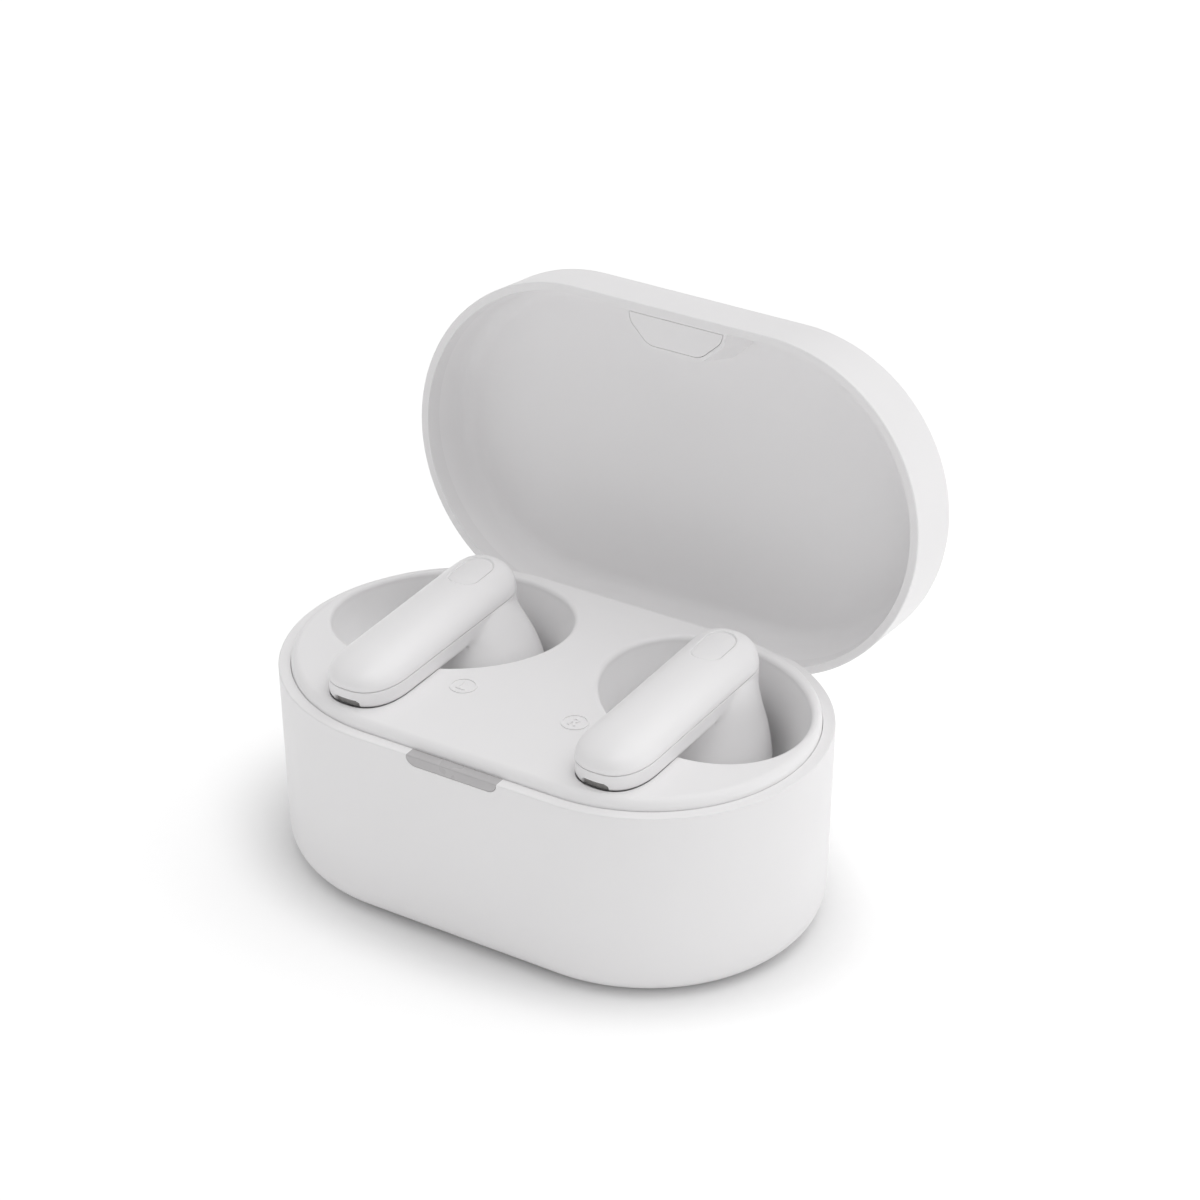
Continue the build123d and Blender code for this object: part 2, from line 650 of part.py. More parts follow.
def speaker_driver():
    """Dished frame of the driver with its magnet behind it."""
    x = BUD_X - HEAD[-2][1]
    y = HEAD[-2][2]
    rim_top = DRIVER_Z + 0.8
    rim = post(x, y, DRIVER_Z, rim_top, DRIVER_R)
    cone = post(x, y, DRIVER_Z, DRIVER_Z + 0.3, DRIVER_R - 0.8)
    return rim - cone + post(x, y, rim_top, rim_top + 1.8, DRIVER_R - 1.2)


def bud_battery():
    cell = post(BUD_X - 0.5, HEAD[0][2], BUD_CELL_Z[0], BUD_CELL_Z[1], BUD_CELL_R)
    return fillet(cell.edges().filter_by(GeomType.CIRCLE), 0.4)


def bud_board():
    """Board along the stem with four packages on top."""
    top = BUD_BOARD_Z + BUD_BOARD_T
    board = block(BUD_X - BUD_BOARD_HALF, BUD_X + BUD_BOARD_HALF, *BUD_BOARD_Y, BUD_BOARD_Z, top)
    for y, size in ((-9.0, 2.4), (-4.0, 3.6), (1.5, 3.0), (6.0, 2.0)):
        half = size / 2
        board += block(BUD_X - half, BUD_X + half, y - half, y + half, top, top + BUD_CHIP_H)
    return board


def bud_contacts():
    """Two gold pads that stand a little proud of the stem's underside."""
    pads = [post(BUD_X, y, CONTACT_Z, STEM_UNDER + BUD_WALL, CONTACT_R - 0.01) for y in CONTACT_Y]
    return Compound(children=[fillet(p.edges().group_by(Axis.Z)[0], 0.2) for p in pads])


def bud_magnet():
    return magnet(BUD_X, BUD_MAGNET_Y, BUD_MAGNET_Z, BUD_MAGNET)


# ---------------------------------------------------------------- charging pins
def pogo_holder():
    """Plastic block under the trough that carries two barrels."""
    y0 = min(CONTACT_Y) - HOLDER_END
    y1 = max(CONTACT_Y) + HOLDER_END
    holder = block(BUD_X - HOLDER_HALF_X, BUD_X + HOLDER_HALF_X, y0, y1, HOLDER_FLOOR, PLATE_UNDER)
    for y in CONTACT_Y:
        holder -= post(BUD_X, y, BARREL_FLOOR, PLATE_UNDER + 1, BARREL_R)
    return holder


def pogo_barrels():
    barrels = []
    for y in CONTACT_Y:
        tube = post(BUD_X, y, BARREL_FLOOR, PLATE_UNDER, BARREL_R)
        tube -= post(BUD_X, y, BARREL_FLOOR + LIP_T, PLATE_UNDER - LIP_T, BARREL_BORE)
        tube -= post(BUD_X, y, PLATE_UNDER - 1, PLATE_UNDER + 1, PLUNGER_R + 0.05)
        barrels.append(tube)
    return Compound(children=barrels)


def plunger(y):
    flange_top = PLATE_UNDER - LIP_T - 0.05
    pin = post(BUD_X, y, flange_top - FLANGE_T, PLUNGER_TOP, PLUNGER_R)
    pin = fillet(pin.edges().group_by(Axis.Z)[-1], 0.25)
    return pin + post(BUD_X, y, flange_top - FLANGE_T, flange_top, FLANGE_R)


def spring(y):
    """Compression spring between the barrel's floor and the plunger's flange."""
    z0 = BARREL_FLOOR + LIP_T + SPRING_WIRE_R + 0.01
    z1 = PLATE_UNDER - LIP_T - 0.05 - FLANGE_T - SPRING_WIRE_R - 0.01
    path = Helix(pitch=(z1 - z0) / SPRING_TURNS, height=z1 - z0, radius=SPRING_R)
    section = Plane(path @ 0, z_dir=path % 0) * Circle(SPRING_WIRE_R)
    return Pos(BUD_X, y, z0) * sweep(section, path=path, is_frenet=True)


def pogo_flex():
    """Flat flex down the front of the holder to the main board."""
    y1 = min(CONTACT_Y) - HOLDER_END
    z0 = BOARD_Z + BOARD_T
    strip = block(BUD_X - FLEX_HALF, BUD_X + FLEX_HALF, y1 - FLEX_T, y1, z0, HOLDER_FLOOR + 2)
    strip += block(BUD_X - FLEX_HALF, BUD_X + FLEX_HALF, y1 - 1.6, y1, z0, z0 + FLEX_T)
    return strip


# ---------------------------------------------------------------- inside the base
def battery_foam_pad():
    half = CELL[0] / 2 - 0.5
    return block(-half, half, -CELL[1] / 2 - 0.5, CELL[1] / 2 - 1.5, FLOOR, FLOOR + PAD_T)


def battery_cell():
    z0 = FLOOR + PAD_T
    cell = block(-CELL[0] / 2, CELL[0] / 2, -CELL[1] / 2 - 1, CELL[1] / 2 - 1, z0, z0 + CELL[2])
    cell = fillet(cell.edges().filter_by(Axis.Y), 1.4)
    return cell


def battery_leads():
    leads = []
    for y in (-2.0, 0.0):
        start = (-CELL[0] / 2, y, 4.2)
        turn = (-CELL[0] / 2 - 2.0, y, 4.2)
        end = (-CELL[0] / 2 - 2.0, y, BOARD_Z)
        path = FilletPolyline(start, turn, end, radius=1.0)
        leads.append(sweep(Plane(path @ 0, z_dir=path % 0) * Circle(LEAD_R), path=path))
    return Compound(children=leads)


def main_board():
    board = extrude(pill(53.0, 30.0, BOARD_Z), amount=BOARD_T)
    for x in (-SCREW_AT[0], SCREW_AT[0]):
        for y in (-SCREW_AT[1], SCREW_AT[1]):
            board -= post(x, y, BOARD_Z - 1, BOARD_Z + BOARD_T + 1, SCREW_R + 0.1)
    return board


def board_chips():
    """Charger, controller, coil and two capacitors on top of the main board."""
    z0 = BOARD_Z + BOARD_T
    chips = []
    for x, y, a, b, h in (
        (-5.5, -9.0, 4.0, 4.0, 0.85),
        (5.0, -8.5, 3.0, 3.0, 0.75),
        (0.0, -4.5, 2.5, 2.5, 1.2),
        (9.5, -11.0, 1.6, 0.8, 0.8),
        (-10.5, -11.0, 1.6, 0.8, 0.8),
    ):
        chips.append(block(x - a / 2, x + a / 2, y - b / 2, y + b / 2, z0, z0 + h))
    return Compound(children=chips)


def board_screws():
    """Four pan-head screws through the board into the bosses."""
    screws = []
    top = BOARD_Z + BOARD_T
    for x in (-SCREW_AT[0], SCREW_AT[0]):
        for y in (-SCREW_AT[1], SCREW_AT[1]):
            screw = post(x, y, FLOOR + 1.5, top, SCREW_R)
            head = fillet(post(x, y, top, top + 0.6, 1.1).edges().group_by(Axis.Z)[-1], 0.3)
            head -= block(x - 0.7, x + 0.7, y - 0.12, y + 0.12, top + 0.3, top + 1)
            head -= block(x - 0.12, x + 0.12, y - 0.7, y + 0.7, top + 0.3, top + 1)
            screws.append(screw + head)
    return Compound(children=screws)


def usb_c_shell():
    """Stamped steel shell of the charging port, open at the rear."""
    y0 = USB_END - USB[1]
    mid = Pos(0, y0, usb_mid_z()) * Rot(-90, 0, 0)
    outer = extrude(mid * SlotOverall(USB[0], USB[2]), amount=USB[1])
    inner = extrude(mid * SlotOverall(USB[0] - 2 * USB_SKIN, USB[2] - 2 * USB_SKIN), amount=USB[1] + 1)
    return outer - (Pos(0, 0.4, 0) * inner)


def usb_c_tongue():
    y0 = USB_END - USB[1] + 0.4
    back = Pos(0, y0, usb_mid_z()) * Rot(-90, 0, 0) * SlotOverall(USB[0] - 0.64, USB[2] - 0.64)
    base = extrude(back, amount=1.6)
    return base + block(-3.35, 3.35, y0, USB_END - 0.8, usb_mid_z() - 0.35, usb_mid_z() + 0.35)


def status_led():
    z0 = BOARD_Z + BOARD_T
    return block(-0.8, 0.8, -14.8, -14.0, z0, z0 + 0.7)


def hall_sensor():
    z0 = BOARD_Z + BOARD_T
    body = block(5.4, 7.0, -13.9, -12.3, z0 + 0.1, z0 + 1.0)
    return body + block(5.0, 7.4, -13.5, -12.7, z0, z0 + 0.1)


def base_lid_magnet():
    return magnet(0, BASE_MAGNET_Y, PLATE_UNDER - BASE_MAGNET[2], BASE_MAGNET)


def bud_hold_magnet():
    """Magnet under the trough that pulls the stem's tip down onto the charging pins."""
    return magnet(BUD_X, HOLD_MAGNET_Y, PLATE_UNDER - HOLD_MAGNET[2], HOLD_MAGNET)


parts["base_shell"] = base_shell()
parts["tray"] = tray()
parts["led_light_guide"] = light_guide()
parts["battery_foam_pad"] = battery_foam_pad()
parts["battery_cell"] = battery_cell()
parts["battery_leads"] = battery_leads()
parts["main_board"] = main_board()
parts["board_chips"] = board_chips()
parts["board_screws"] = board_screws()
parts["usb_c_shell"] = usb_c_shell()
parts["usb_c_tongue"] = usb_c_tongue()
parts["status_led"] = status_led()
parts["hall_sensor"] = hall_sensor()
parts["base_lid_magnet"] = base_lid_magnet()
parts["hinge_pin"] = hinge_pin()

parts["lid_shell"] = swung_open(lid_shell())
parts["lid_liner"] = swung_open(lid_liner())
parts["lid_magnet_cover"] = swung_open(lid_magnet_cover())
parts["lid_magnet"] = swung_open(lid_magnet())

paired = {
    "pogo_holder": pogo_holder(),
    "pogo_barrels": pogo_barrels(),
    "pogo_flex": pogo_flex(),
    "earbud_hold_magnet": bud_hold_magnet(),
    "front_plunger": plunger(CONTACT_Y[1]),
    "rear_plunger": plunger(CONTACT_Y[0]),
    "front_spring": spring(CONTACT_Y[1]),
    "rear_spring": spring(CONTACT_Y[0]),
    "earbud_shell": bud_shell(),
    "earbud_stem_cover": stem_cover(),
    "earbud_touch_inlay": touch_inlay(),
    "earbud_touch_sensor": touch_sensor(),
    "earbud_mic_mesh": mic_mesh(),
    "earbud_speaker_grille": speaker_grille(),
    "earbud_speaker_driver": speaker_driver(),
    "earbud_battery": bud_battery(),
    "earbud_board": bud_board(),
    "earbud_contacts": bud_contacts(),
    "earbud_magnet": bud_magnet(),
}
for name, shape in paired.items():
    parts[name + "_right"] = shape
    parts[name + "_left"] = mirrored(shape)

for name, shape in parts.items():
    export_step(shape, f"parts/{name}.step")
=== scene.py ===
import json
import math

import bmesh
import bpy
import numpy as np
from mathutils import Matrix, Vector


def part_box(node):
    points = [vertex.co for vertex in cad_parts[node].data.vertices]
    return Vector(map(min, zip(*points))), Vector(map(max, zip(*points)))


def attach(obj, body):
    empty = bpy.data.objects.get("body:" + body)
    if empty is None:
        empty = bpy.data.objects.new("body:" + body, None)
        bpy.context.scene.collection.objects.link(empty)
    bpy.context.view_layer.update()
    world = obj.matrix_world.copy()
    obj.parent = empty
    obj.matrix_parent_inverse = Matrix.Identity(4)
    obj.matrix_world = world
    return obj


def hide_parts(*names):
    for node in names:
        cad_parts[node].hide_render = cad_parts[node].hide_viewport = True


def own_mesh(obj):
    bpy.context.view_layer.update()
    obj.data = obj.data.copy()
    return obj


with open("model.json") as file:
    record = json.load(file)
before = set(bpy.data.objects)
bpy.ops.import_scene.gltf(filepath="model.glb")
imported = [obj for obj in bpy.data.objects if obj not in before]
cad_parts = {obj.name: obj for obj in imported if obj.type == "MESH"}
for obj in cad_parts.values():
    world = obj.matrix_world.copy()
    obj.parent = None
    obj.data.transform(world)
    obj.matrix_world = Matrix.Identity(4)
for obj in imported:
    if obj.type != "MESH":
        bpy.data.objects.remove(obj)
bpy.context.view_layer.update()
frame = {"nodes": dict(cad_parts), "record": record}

MM = 0.001

# ---------------------------------------------------------------- camera
AZIMUTH = math.radians(32.158)
ELEVATION = math.radians(29.788)
ROLL = math.radians(-0.281)
DISTANCE = 361.871 * MM
AIM = Vector((0.0, 0.0, 15.0)) * MM
AIM_SLIDE = (-4.73 * MM, -14.397 * MM)
LENS = 106.25
SENSOR = 36.0


def add_camera():
    back = Vector(
        (
            math.sin(AZIMUTH) * math.cos(ELEVATION),
            -math.cos(AZIMUTH) * math.cos(ELEVATION),
            math.sin(ELEVATION),
        )
    )
    level = Vector((math.cos(AZIMUTH), math.sin(AZIMUTH), 0.0))
    raised = back.cross(level)
    right = level * math.cos(ROLL) + raised * math.sin(ROLL)
    up = raised * math.cos(ROLL) - level * math.sin(ROLL)
    place = AIM + back * DISTANCE - right * AIM_SLIDE[0] - up * AIM_SLIDE[1]
    data = bpy.data.cameras.new("camera")
    data.lens = LENS
    data.sensor_width = SENSOR
    data.clip_start = 0.01
    camera = bpy.data.objects.new("camera", data)
    bpy.context.scene.collection.objects.link(camera)
    turn = Matrix((right, up, back)).transposed().to_4x4()
    camera.matrix_world = Matrix.Translation(place) @ turn
    bpy.context.scene.camera = camera


# ---------------------------------------------------------------- stage and light
FLOOR_HALF = 30.0
FLOOR_DARK = (0.89, 0.89, 0.89)
FLOOR_LIGHT = (0.91, 0.91, 0.91)
FLOOR_TOOTH_SCALE = 900.0
# The glow is an oval: X is squeezed by this share, so that it follows the case's outline.
GLOW_SQUEEZE = (0.62, 1.0, 1.0)
# Painted shadow: no glow within this reach of the case and full glow beyond the next, so the floor round the
# case is darker.
GLOW_NONE_WITHIN = 17.0 * MM
GLOW_FULL_BEYOND = 27.0 * MM
GLOW_STRENGTH = 0.24
WORLD_COLOUR = (1.0, 0.995, 0.998, 1)
WORLD_STRENGTH = 0.5


def add_area(name, place, target, size, energy):
    """A square lamp that points at a target."""
    data = bpy.data.lights.new(name, "AREA")
    data.energy = energy
    data.size = size
    lamp = bpy.data.objects.new(name, data)
    bpy.context.scene.collection.objects.link(lamp)
    lamp.location = place
    aim = Vector(target) - Vector(place)
    lamp.rotation_euler = aim.to_track_quat("-Z", "Y").to_euler()


def add_sun(name, direction, strength, spread):
    """A very soft sun that shines from a direction, the same over the whole floor."""
    data = bpy.data.lights.new(name, "SUN")
    data.energy = strength
    data.angle = math.radians(spread)
    lamp = bpy.data.objects.new(name, data)
    bpy.context.scene.collection.objects.link(lamp)
    lamp.rotation_euler = Vector(direction).to_track_quat("Z", "Y").to_euler()


def add_stage():
    mesh = bpy.data.meshes.new("floor")
    corners = [
        (-FLOOR_HALF, -FLOOR_HALF, 0),
        (FLOOR_HALF, -FLOOR_HALF, 0),
        (FLOOR_HALF, FLOOR_HALF, 0),
        (-FLOOR_HALF, FLOOR_HALF, 0),
    ]
    mesh.from_pydata(corners, [], [(0, 1, 2, 3)])
    floor = bpy.data.objects.new("floor", mesh)
    bpy.context.scene.collection.objects.link(floor)
    floor.data.materials.append(floor_material())


def floor_material():
    """White paper with a faint tooth and a faint glow, which is painted light: the floor gives off light
    though it is no lamp. The glow stops short of the case, so that light bounced up from the floor doesn't
    wash out the contact shadow under it; the darker oval this leaves round the case is painted shadow."""
    material, tree, shader = new_material("floor_paper")
    coords = object_coords(tree)
    tooth = noise(tree, coords, FLOOR_TOOTH_SCALE, 3.0)
    set_colour(tree, shader, tooth, FLOOR_DARK, FLOOR_LIGHT)
    shader.inputs["Roughness"].default_value = 0.9
    shader.inputs["Specular IOR Level"].default_value = 0.1
    squeeze = tree.nodes.new("ShaderNodeVectorMath")
    squeeze.operation = "MULTIPLY"
    squeeze.inputs[1].default_value = GLOW_SQUEEZE
    tree.links.new(coords, squeeze.inputs[0])
    reach = tree.nodes.new("ShaderNodeVectorMath")
    reach.operation = "LENGTH"
    tree.links.new(squeeze.outputs["Vector"], reach.inputs[0])
    glow = map_range(tree, reach.outputs["Value"], GLOW_NONE_WITHIN, GLOW_FULL_BEYOND, 0.0, GLOW_STRENGTH)
    glow.interpolation_type = "SMOOTHSTEP"
    shader.inputs["Emission Color"].default_value = (1, 1, 1, 1)
    tree.links.new(glow.outputs["Result"], shader.inputs["Emission Strength"])
    return material


def add_world():
    world = bpy.data.worlds.new("studio")
    bpy.context.scene.world = world
    world.use_nodes = True
    background = world.node_tree.nodes["Background"]
    background.inputs["Color"].default_value = WORLD_COLOUR
    background.inputs["Strength"].default_value = WORLD_STRENGTH


# ---------------------------------------------------------------- materials
NOISE_LOW = 0.3
NOISE_HIGH = 0.7
# Sockets of the Mix node when it mixes colours.
MIX_COLOUR_A = 6
MIX_COLOUR_B = 7
MIX_COLOUR_OUT = 2
PLASTIC_IOR = 1.49
# Painted light: the tray turns paler below WELL_TOP, blended over WELL_BLEND, to lighten its shaded wells.
WELL_TOP = 22.2
WELL_BLEND = 0.4
WELL_PAINTED_LIGHT = (0.95, 0.945, 0.948)
SHELL_WHITE = (0.86, 0.853, 0.857)

# Plastic: colour, roughness, grain size, grain depth (0 for a polished face), unevenness of the colour.
PLASTICS = {
    "case_shell": (SHELL_WHITE, 0.42, 0.09, 0.0022, 0.012),
    "tray_plastic": (SHELL_WHITE, 0.46, 0.09, 0.0025, 0.012),
    "liner_plastic": ((0.9, 0.893, 0.897), 0.5, 0.1, 0.003, 0.012),
    "earbud_plastic": ((0.87, 0.863, 0.867), 0.34, 0.4, 0.0, 0.004),
    "touch_plastic": (SHELL_WHITE, 0.38, 0.35, 0.0012, 0.004),
    "light_guide": ((0.5, 0.49, 0.495), 0.3, 0.3, 0.001, 0.012),
    "wire": ((0.42, 0.02, 0.018), 0.45, 0.15, 0.003, 0.012),
    "chip": ((0.022, 0.022, 0.025), 0.5, 0.05, 0.002, 0.006),
    "black_plastic": ((0.022, 0.022, 0.023), 0.45, 0.12, 0.004, 0.006),
    "led_body": ((0.8, 0.74, 0.42), 0.25, 0.2, 0.001, 0.012),
    "flex": ((0.42, 0.17, 0.02), 0.3, 0.3, 0.002, 0.012),
}

# Metal: colour, roughness, scale of the streaks along X, Y and Z, depth of the streaks.
METALS = {
    "cell_wrap": ((0.62, 0.63, 0.65), 0.34, (40.0, 900.0, 900.0), 0.004),
    "steel": ((0.58, 0.575, 0.565), 0.3, (200.0, 4000.0, 4000.0), 0.0015),
    "magnet": ((0.72, 0.7, 0.66), 0.18, (900.0, 900.0, 900.0), 0.0008),
    "gold_contact": ((0.9, 0.62, 0.22), 0.2, (2500.0, 2500.0, 2500.0), 0.0006),
}

FOAM_BLACK = (0.035, 0.035, 0.037)
MESH_GREY = (0.42, 0.41, 0.4)


def new_material(name):
    material = bpy.data.materials.new(name)
    material.use_nodes = True
    tree = material.node_tree
    return material, tree, tree.nodes["Principled BSDF"]


def node(tree, kind, **inputs):
    made = tree.nodes.new(kind)
    for key, value in inputs.items():
        made.inputs[key.replace("_", " ")].default_value = value
    return made


def object_coords(tree):
    return tree.nodes.new("ShaderNodeTexCoord").outputs["Object"]


def noise(tree, coords, scale, detail=2.0, roughness=0.5):
    made = node(tree, "ShaderNodeTexNoise", Scale=scale, Detail=detail, Roughness=roughness)
    tree.links.new(coords, made.inputs["Vector"])
    return made.outputs["Fac"]


def map_range(tree, value, from_low, from_high, to_low, to_high):
    made = tree.nodes.new("ShaderNodeMapRange")
    made.inputs["From Min"].default_value = from_low
    made.inputs["From Max"].default_value = from_high
    made.inputs["To Min"].default_value = to_low
    made.inputs["To Max"].default_value = to_high
    tree.links.new(value, made.inputs["Value"])
    return made


def ramp(tree, value, low, high):
    """Spreads the middle of a noise over low..high."""
    return map_range(tree, value, NOISE_LOW, NOISE_HIGH, low, high).outputs["Result"]


def blend_colours(tree, value, dark, light):
    made = tree.nodes.new("ShaderNodeMix")
    made.data_type = "RGBA"
    made.inputs[MIX_COLOUR_A].default_value = (*dark, 1)
    made.inputs[MIX_COLOUR_B].default_value = (*light, 1)
    tree.links.new(value, made.inputs[0])
    return made.outputs[MIX_COLOUR_OUT]


def set_colour(tree, shader, value, dark, light):
    tree.links.new(blend_colours(tree, value, dark, light), shader.inputs["Base Color"])


def set_bump(tree, shader, height, depth_mm, strength=1.0):
    bump = node(tree, "ShaderNodeBump", Strength=strength, Distance=depth_mm * MM)
    tree.links.new(height, bump.inputs["Height"])
    tree.links.new(bump.outputs["Normal"], shader.inputs["Normal"])


def moulded_plastic(name, colour, roughness, grain_mm, grain_depth, mottle):
    """Moulded plastic: a fine spark-eroded grain, soft waviness and a trace of uneven colour."""
    material, tree, shader = new_material(name)
    coords = object_coords(tree)
    cloud = noise(tree, coords, 60.0, 3.0)
    set_colour(tree, shader, cloud, [c - mottle for c in colour], [c + mottle for c in colour])
    patch = noise(tree, coords, 220.0, 4.0)
    tree.links.new(ramp(tree, patch, roughness - 0.04, roughness + 0.04), shader.inputs["Roughness"])
    if grain_depth:
        grain = noise(tree, coords, 1.0 / (grain_mm * MM), 2.0, 0.6)
        set_bump(tree, shader, grain, grain_depth)
    shader.inputs["IOR"].default_value = PLASTIC_IOR
    return material


def paint_light_below(material, height_mm, colour):
    """Painted light: a paler colour below a height, to offset how dark the shaded wells come out under these
    lights.
    It is not a colour of the part: the tray is one moulding in one plastic."""
    tree = material.node_tree
    shader = tree.nodes["Principled BSDF"]
    split = tree.nodes.new("ShaderNodeSeparateXYZ")
    tree.links.new(object_coords(tree), split.inputs["Vector"])
    above = (height_mm + WELL_BLEND) * MM
    below = (height_mm - WELL_BLEND) * MM
    step = map_range(tree, split.outputs["Z"], above, below, 0.0, 1.0)
    mix = tree.nodes.new("ShaderNodeMix")
    mix.data_type = "RGBA"
    source = shader.inputs["Base Color"].links[0].from_socket
    tree.links.new(step.outputs["Result"], mix.inputs[0])
    tree.links.new(source, mix.inputs[MIX_COLOUR_A])
    mix.inputs[MIX_COLOUR_B].default_value = (*colour, 1)
    tree.links.new(mix.outputs[MIX_COLOUR_OUT], shader.inputs["Base Color"])


def metal(name, colour, roughness, streaks, depth):
    """Plated or brushed metal: fine streaks in the roughness and a slight patina in the colour."""
    material, tree, shader = new_material(name)
    coords = object_coords(tree)
    stretch = tree.nodes.new("ShaderNodeMapping")
    stretch.inputs["Scale"].default_value = streaks
    tree.links.new(coords, stretch.inputs["Vector"])
    lines = noise(tree, stretch.outputs["Vector"], 1.0, 4.0, 0.6)
    tree.links.new(ramp(tree, lines, roughness - 0.08, roughness + 0.1), shader.inputs["Roughness"])
    cloud = noise(tree, coords, 300.0, 4.0)
    set_colour(tree, shader, cloud, [c * 0.86 for c in colour], colour)
    set_bump(tree, shader, lines, depth)
    shader.inputs["Metallic"].default_value = 1.0
    return material


def foam(name, colour):
    """Closed-cell foam: rounded cells with pale skins."""
    material, tree, shader = new_material(name)
    cells = node(tree, "ShaderNodeTexVoronoi", Scale=2500.0)
    tree.links.new(object_coords(tree), cells.inputs["Vector"])
    distance = cells.outputs["Distance"]
    set_colour(tree, shader, distance, [c * 2.2 for c in colour], colour)
    set_bump(tree, shader, distance, 0.06, 0.8)
    shader.inputs["Roughness"].default_value = 0.9
    return material


def circuit_board(name):
    """Green solder mask over a raised pattern of copper tracks."""
    material, tree, shader = new_material(name)
    coords = object_coords(tree)
    tracks = node(tree, "ShaderNodeTexBrick", Scale=400.0)
    tracks.inputs["Mortar Size"].default_value = 0.06
    tracks.inputs["Color1"].default_value = (0.0, 0.0, 0.0, 1)
    tracks.inputs["Color2"].default_value = (0.12, 0.12, 0.12, 1)
    tracks.inputs["Mortar"].default_value = (1.0, 1.0, 1.0, 1)
    tree.links.new(coords, tracks.inputs["Vector"])
    set_colour(tree, shader, tracks.outputs["Color"], (0.008, 0.07, 0.03), (0.02, 0.17, 0.07))
    set_bump(tree, shader, tracks.outputs["Color"], 0.02)
    cloud = noise(tree, coords, 500.0, 3.0)
    tree.links.new(ramp(tree, cloud, 0.25, 0.38), shader.inputs["Roughness"])
    return material


def woven(name, colour):
    """Fine woven screen: crossed threads with dark gaps."""
    material, tree, shader = new_material(name)
    coords = object_coords(tree)
    threads = tree.nodes.new("ShaderNodeMath")
    threads.operation = "MAXIMUM"
    for socket, axis in enumerate(("X", "Z")):
        wave = node(tree, "ShaderNodeTexWave", Scale=2600.0)
        wave.wave_type = "BANDS"
        wave.bands_direction = axis
        tree.links.new(coords, wave.inputs["Vector"])
        tree.links.new(wave.outputs["Fac"], threads.inputs[socket])
    height = threads.outputs["Value"]
    set_colour(tree, shader, height, [c * 0.3 for c in colour], colour)
    set_bump(tree, shader, height, 0.03)
    shader.inputs["Roughness"].default_value = 0.55
    return material


def make_materials():
    made = {name: moulded_plastic(name, *row) for name, row in PLASTICS.items()}
    made.update({name: metal(name, *row) for name, row in METALS.items()})
    made["foam"] = foam("foam", FOAM_BLACK)
    made["circuit_board"] = circuit_board("circuit_board")
    made["mesh"] = woven("mesh", MESH_GREY)
    # Painted light in the tray's shaded wells: a paler colour below their top.
    paint_light_below(made["tray_plastic"], WELL_TOP, WELL_PAINTED_LIGHT)
    return made


# ---------------------------------------------------------------- earbuds
BUD_X = 14.6
STEM_HALF = 4.0
STEM_FRONT = -15.53
STEM_BACK = 12.1
FRONT_CAP = (5.6, 2.485)
BACK_CAP = (4.0, 2.2)
SEAM_Z = 24.5
SEAM_GROOVE = 0.09
SEAM_ROUND = 0.05
TONGUE_IN = 0.32
WALL = 0.8
STEM_UNDER = 22.3
CROWN_FRONT = 2.25
CROWN_BACK = 2.95
CROWN_POWERS = (2.3, 2.1, 3.2)
TOUCH_Y = 7.1
TOUCH_HALF_L = 2.9
TOUCH_HALF_W = 1.7
TOUCH_FLOOR = 0.2
TOUCH_TOP = 0.1
TOUCH_SLOPE = 0.14
HEAD_Y = 6.2
GRILLE_R = 3.5
MIC_Z = 22.95
MIC_HALF_L = 1.45
MIC_HALF_H = 0.45
MIC_DEPTH = 0.45

# Charging pins: the coil of each spring.
SPRING_WIRE = 0.06
SPRING_TURNS = 5
SPRING_FLAT = 0.1
SPRING_STEPS = 201
SPRING_SIDES = 12

# Fineness of the earbud meshes.
OUTLINE_POINTS = 420
CAP_POINTS = 400
PLAN_FINE = 1200
FLANK_LEVELS = 60
BODY_LEVELS = 120
FLANK_ROWS = 34
BODY_ROWS = 150
INNER_ROWS = 24
COVER_ROWS = 72
COVER_INNER_ROWS = 24
TOUCH_POINTS = 160
MIC_POINTS = 96

# How the head runs into the stem: the step along a profile, the tight and the wide blend, where the
# wide blend begins below the stem's edge, and the lengths over which it comes in.
PROFILE_STEP = 0.05
EDGE_BLEND = 0.22
WAIST_BLEND = 1.1
WAIST_START = 0.6
WAIST_RUN = 1.0
LEDGE_RUN = 0.6

# The shell's tongue and groove at the seam, and its opening for the speaker grille.
TONGUE_TOP = 0.45
TONGUE_BEVEL = 0.05
SEAM_FREE = 0.12
GRILLE_RINGS = ((GRILLE_R + 0.35, 9.5), (GRILLE_R + 0.05, 9.52), (GRILLE_R, 9.6), (GRILLE_R, 10.3))
INNER_FLOOR = 10.6
INNER_MIN_X = 3.2
INNER_MIN_Y = 3.4

# The microphone slot's edge, the screen in it, and the cover's foot and inner tongue.
MIC_EDGE = 0.14
MIC_REACH = 1.5
MIC_SCREEN_GAP = 0.1
MIC_SCREEN_BACK = 0.12
MIC_RINGS = ((0.0, 0.27), (0.5, 0.27), (0.9, 0.27), (1.0, 0.3), (1.0, 0.38), (0.0, 0.4))
COVER_TONGUE_GAP = 0.04
COVER_TONGUE_TOP = 0.42
CROWN_SHRINK_POWER = 0.95
TOUCH_GAP = 0.09
TOUCH_TOP_RINGS = ((0.0, 0.0), (0.3, 0.0), (0.6, 0.0), (0.85, 0.0), (0.95, 0.0), (0.985, 0.015), (1.0, 0.045))
TOUCH_UNDER_RINGS = (1.0, 0.6, 0.0)
TOUCH_BED = 0.02
MERGE_MM = 2e-4
DEGENERATE_MM = 1e-5
SHARP_ANGLE = math.radians(45)
TINY = 1e-9

# Lower half of the stem: height, inset all round, extra inset at the front tip.
STEM_STEPS = [(24.5, 0.0, 0.0), (23.5, 0.02, 0.0), (22.7, 0.1, 0.15), (22.3, 0.55, 0.35)]
